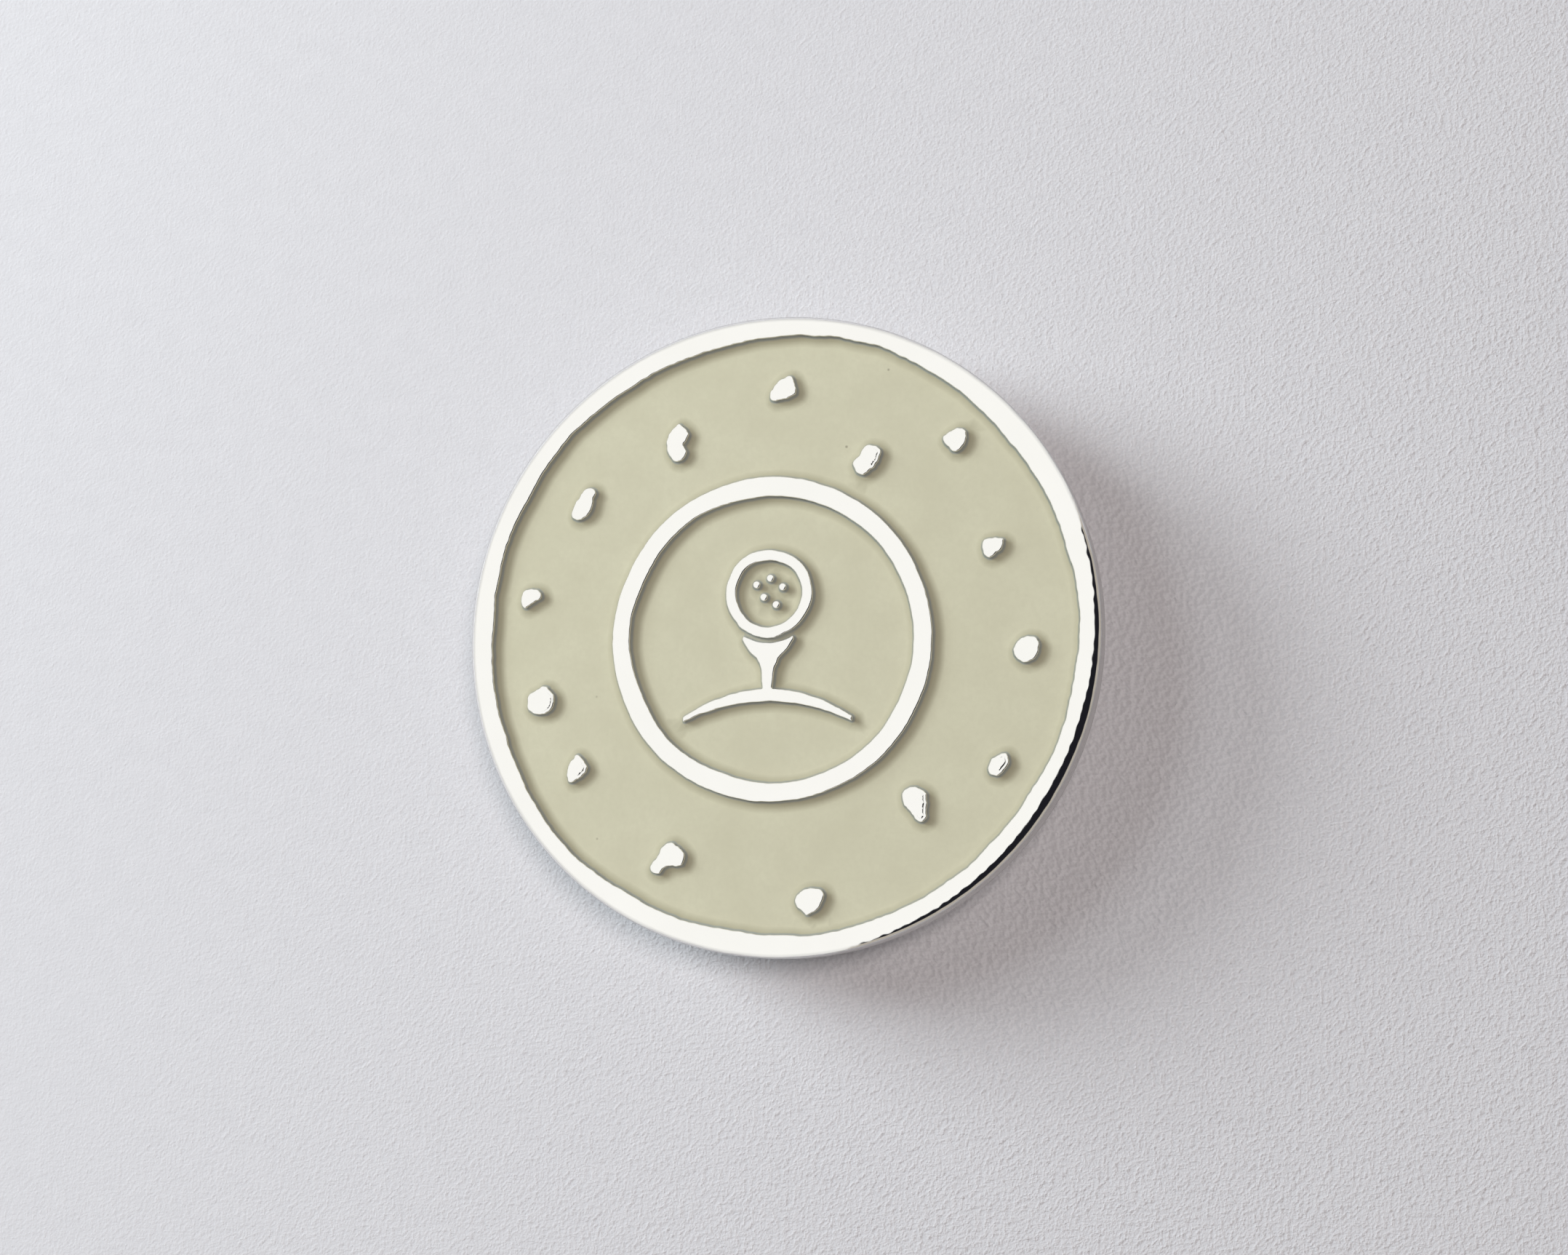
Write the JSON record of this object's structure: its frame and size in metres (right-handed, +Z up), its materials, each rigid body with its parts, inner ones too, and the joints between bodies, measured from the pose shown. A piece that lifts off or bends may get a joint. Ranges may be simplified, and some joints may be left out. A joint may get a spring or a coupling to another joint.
{
  "type": "golf ball marker",
  "caption": "Round enamelled golf ball marker with a raised metal rim, ring, pebbles and emblem, held by a magnet on a slim folded-strip hat clip.",
  "frame": {"origin": "on the resting surface, straight below the marker's centre", "axes": "+Z up through the marker's face, +Y towards the emblem's top and the clip's fold, +X to the emblem's right"},
  "size_m": [0.0254, 0.0254, 0.005],
  "materials": {
    "marker_metal": "mirror-polished silver-coloured plating on struck iron",
    "enamel": "satin soft enamel, pale sage",
    "dish_metal": "polished plating, fine turning marks inside",
    "magnet": "nickel plating with fine scuffs",
    "adhesive": "cured epoxy",
    "rivet_steel": "domed and burnished",
    "spring_steel": "plated spring strip, brushed along its length"
  },
  "bodies": {
    "clip": {"clip_dish": "dish_metal", "magnet": "magnet", "magnet_adhesive": "adhesive", "rivet_front": "rivet_steel", "rivet_back": "rivet_steel", "clip_leaf": "spring_steel", "clip_fold": "spring_steel"},
    "marker": {"marker_body": "marker_metal", "outer_enamel": "enamel", "inner_enamel": "enamel", "ball_enamel": "enamel"},
    "arm": {"spring_arm": "spring_steel"}
  },
  "joints": [
    {"name": "marker_lift", "type": "slide", "parent": "clip", "child": "marker", "axis": [0, 0, 1], "range_m": [0, 0.02]},
    {"name": "arm_flex", "type": "hinge", "parent": "clip", "child": "arm", "pos_m": [0, 0.0086, 0.0009], "axis": [1, 0, 0], "range_deg": [0, 14], "stiffness_Nm_per_rad": 0.3, "springref_deg": -2.86, "deforming": ["clip_fold"]}
  ]
}
